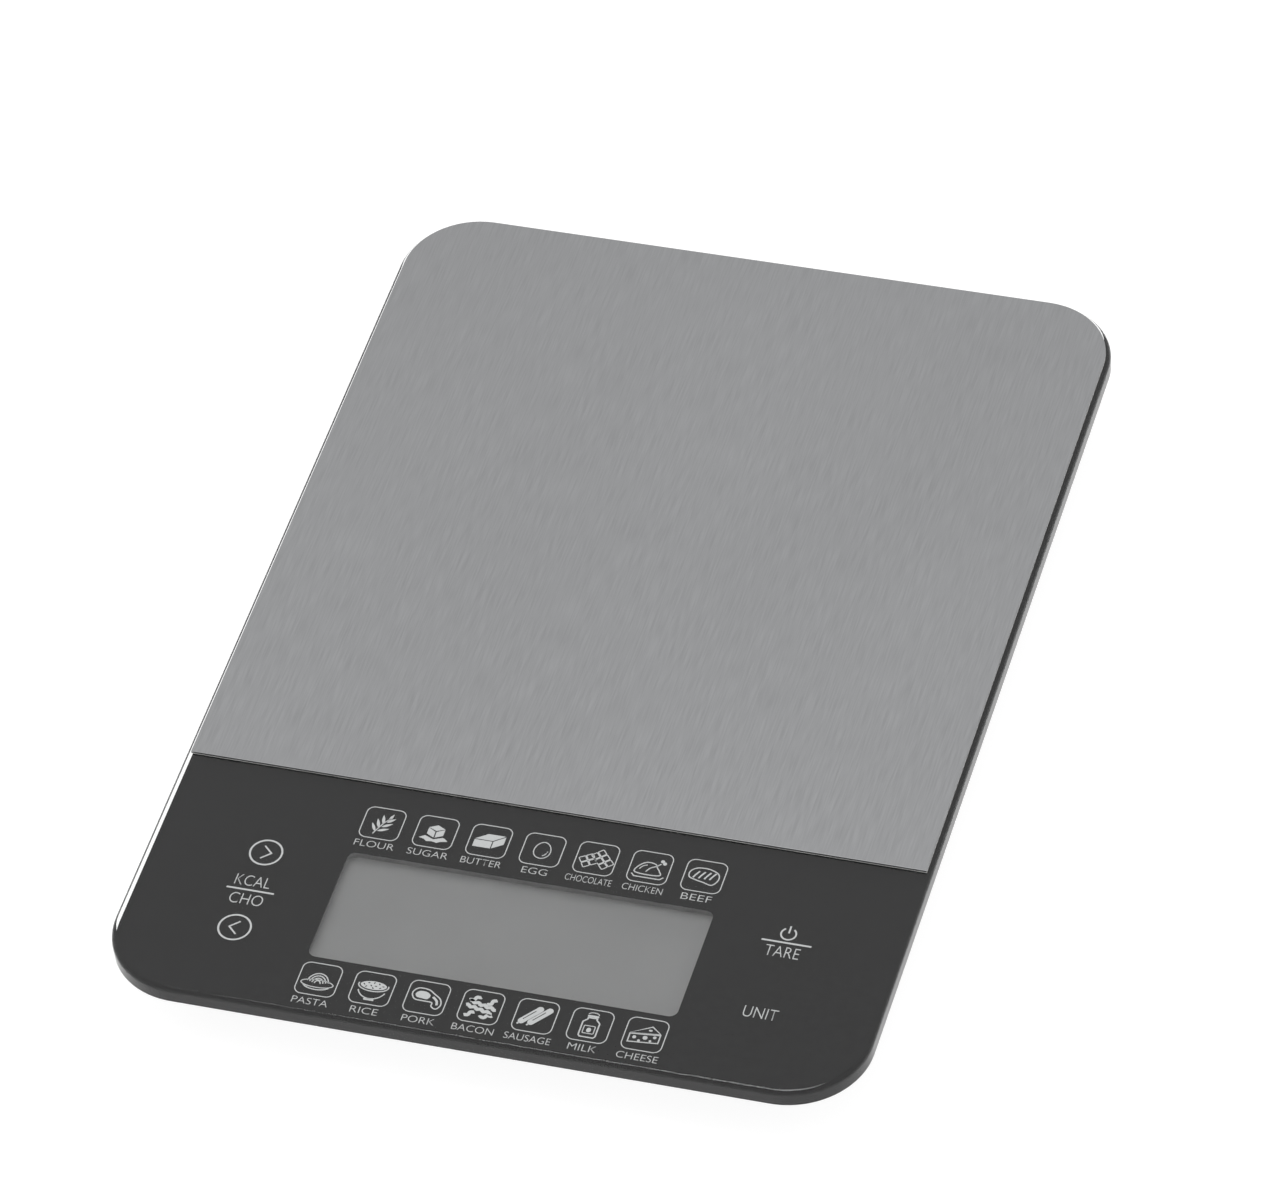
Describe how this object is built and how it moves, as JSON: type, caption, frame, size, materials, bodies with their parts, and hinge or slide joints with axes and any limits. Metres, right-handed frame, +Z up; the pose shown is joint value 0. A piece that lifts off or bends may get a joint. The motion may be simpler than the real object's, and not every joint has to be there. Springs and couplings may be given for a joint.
{
  "type": "digital kitchen scale",
  "caption": "Slim flat kitchen scale with a full-size glass platform, brushed steel weighing sheet, black touch panel with display, load-cell feet and a hinged battery door.",
  "frame": {"origin": "on the table under the centre of the platform", "axes": "+X to the user's right, +Y from the display end to the rear, +Z up out of the weighing surface"},
  "size_m": [0.16, 0.23, 0.017],
  "materials": {
    "brushed_steel": "fine straight brushed grain running front to back",
    "clear_glass": "clear toughened glass with polished rounded edges",
    "black_print": "black ceramic print fired on the back of the glass",
    "adhesive_film": "double-sided film",
    "amber_film": "polyimide film with copper pads",
    "foam": "closed-cell foam",
    "housing_plastic": "fine spark-textured moulding",
    "frame_plastic": "matt moulding",
    "lcd_face": "matt grey polarizer with no segments lit",
    "lcd_glass": "thin laminated display glass",
    "zebra_rubber": "layered conductive rubber",
    "board_laminate": "green solder mask",
    "chip_epoxy": "moulded epoxy",
    "capacitor_ceramic": "fired ceramic",
    "socket_plastic": "natural nylon",
    "bright_metal": "nickel plated",
    "load_cell_steel": "stamped and plated sheet",
    "silicone": "white silicone coating",
    "cell_steel": "bright can with a fine turned grain",
    "red_lead": "vinyl insulation",
    "black_lead": "vinyl insulation",
    "white_lead": "vinyl sleeve",
    "foot_rubber": "moulded rubber with rings"
  },
  "bodies": {
    "platform": {"steel_platform_sheet": "brushed_steel", "sheet_adhesive_film": "adhesive_film", "glass_platform": "clear_glass", "glass_back_print": "black_print", "touch_sensor_film": "amber_film", "touch_film_tail": "amber_film", "housing_bond_tape": "foam", "lower_housing": "housing_plastic", "glass_support_pads": "foam", "display_frame": "frame_plastic", "display_gasket": "foam", "lcd_polarizer": "lcd_face", "lcd_panel": "lcd_glass", "lcd_reflector": "bright_metal", "zebra_strips": "zebra_rubber", "circuit_board": "board_laminate", "controller_chip": "chip_epoxy", "crystal_oscillator": "bright_metal", "board_capacitors": "capacitor_ceramic", "board_resistors": "chip_epoxy", "load_cell_sockets": "socket_plastic", "battery_socket": "socket_plastic", "film_tail_connector": "frame_plastic", "board_screws": "bright_metal", "load_cell_screws": "bright_metal", "strain_gauge_coatings": "silicone", "front_left_load_cell": "load_cell_steel", "front_right_load_cell": "load_cell_steel", "rear_left_load_cell": "load_cell_steel", "rear_right_load_cell": "load_cell_steel", "front_left_lead": "white_lead", "front_right_lead": "white_lead", "rear_left_lead": "white_lead", "rear_right_lead": "white_lead", "battery_cell": "cell_steel", "battery_positive_contact": "bright_metal", "battery_negative_contact": "bright_metal", "battery_positive_lead": "red_lead", "battery_negative_lead": "black_lead"},
    "battery_door_body": {"battery_door": "housing_plastic", "battery_door_latch": "housing_plastic"},
    "front_left_foot": {"front_left_foot_cup": "housing_plastic", "front_left_foot_pad": "foot_rubber", "front_left_foot_clip": "bright_metal"},
    "front_right_foot": {"front_right_foot_cup": "housing_plastic", "front_right_foot_pad": "foot_rubber", "front_right_foot_clip": "bright_metal"},
    "rear_left_foot": {"rear_left_foot_cup": "housing_plastic", "rear_left_foot_pad": "foot_rubber", "rear_left_foot_clip": "bright_metal"},
    "rear_right_foot": {"rear_right_foot_cup": "housing_plastic", "rear_right_foot_pad": "foot_rubber", "rear_right_foot_clip": "bright_metal"}
  },
  "joints": [
    {"name": "battery_door_hinge", "type": "hinge", "parent": "platform", "child": "battery_door_body", "pos_m": [0, 0.016, 0.0047], "axis": [1, 0, 0], "range_deg": [0, 85], "deforming": ["battery_door_latch"]},
    {"name": "front_left_foot_travel", "type": "slide", "parent": "platform", "child": "front_left_foot", "axis": [0, 0, 1], "range_m": [0, 0.0005], "stiffness_N_per_m": 400, "springref_m": -0.006, "deforming": ["front_left_load_cell"]},
    {"name": "front_right_foot_travel", "type": "slide", "parent": "platform", "child": "front_right_foot", "axis": [0, 0, 1], "range_m": [0, 0.0005], "stiffness_N_per_m": 400, "springref_m": -0.006, "deforming": ["front_right_load_cell"]},
    {"name": "rear_left_foot_travel", "type": "slide", "parent": "platform", "child": "rear_left_foot", "axis": [0, 0, 1], "range_m": [0, 0.0005], "stiffness_N_per_m": 400, "springref_m": -0.006, "deforming": ["rear_left_load_cell"]},
    {"name": "rear_right_foot_travel", "type": "slide", "parent": "platform", "child": "rear_right_foot", "axis": [0, 0, 1], "range_m": [0, 0.0005], "stiffness_N_per_m": 400, "springref_m": -0.006, "deforming": ["rear_right_load_cell"]}
  ]
}
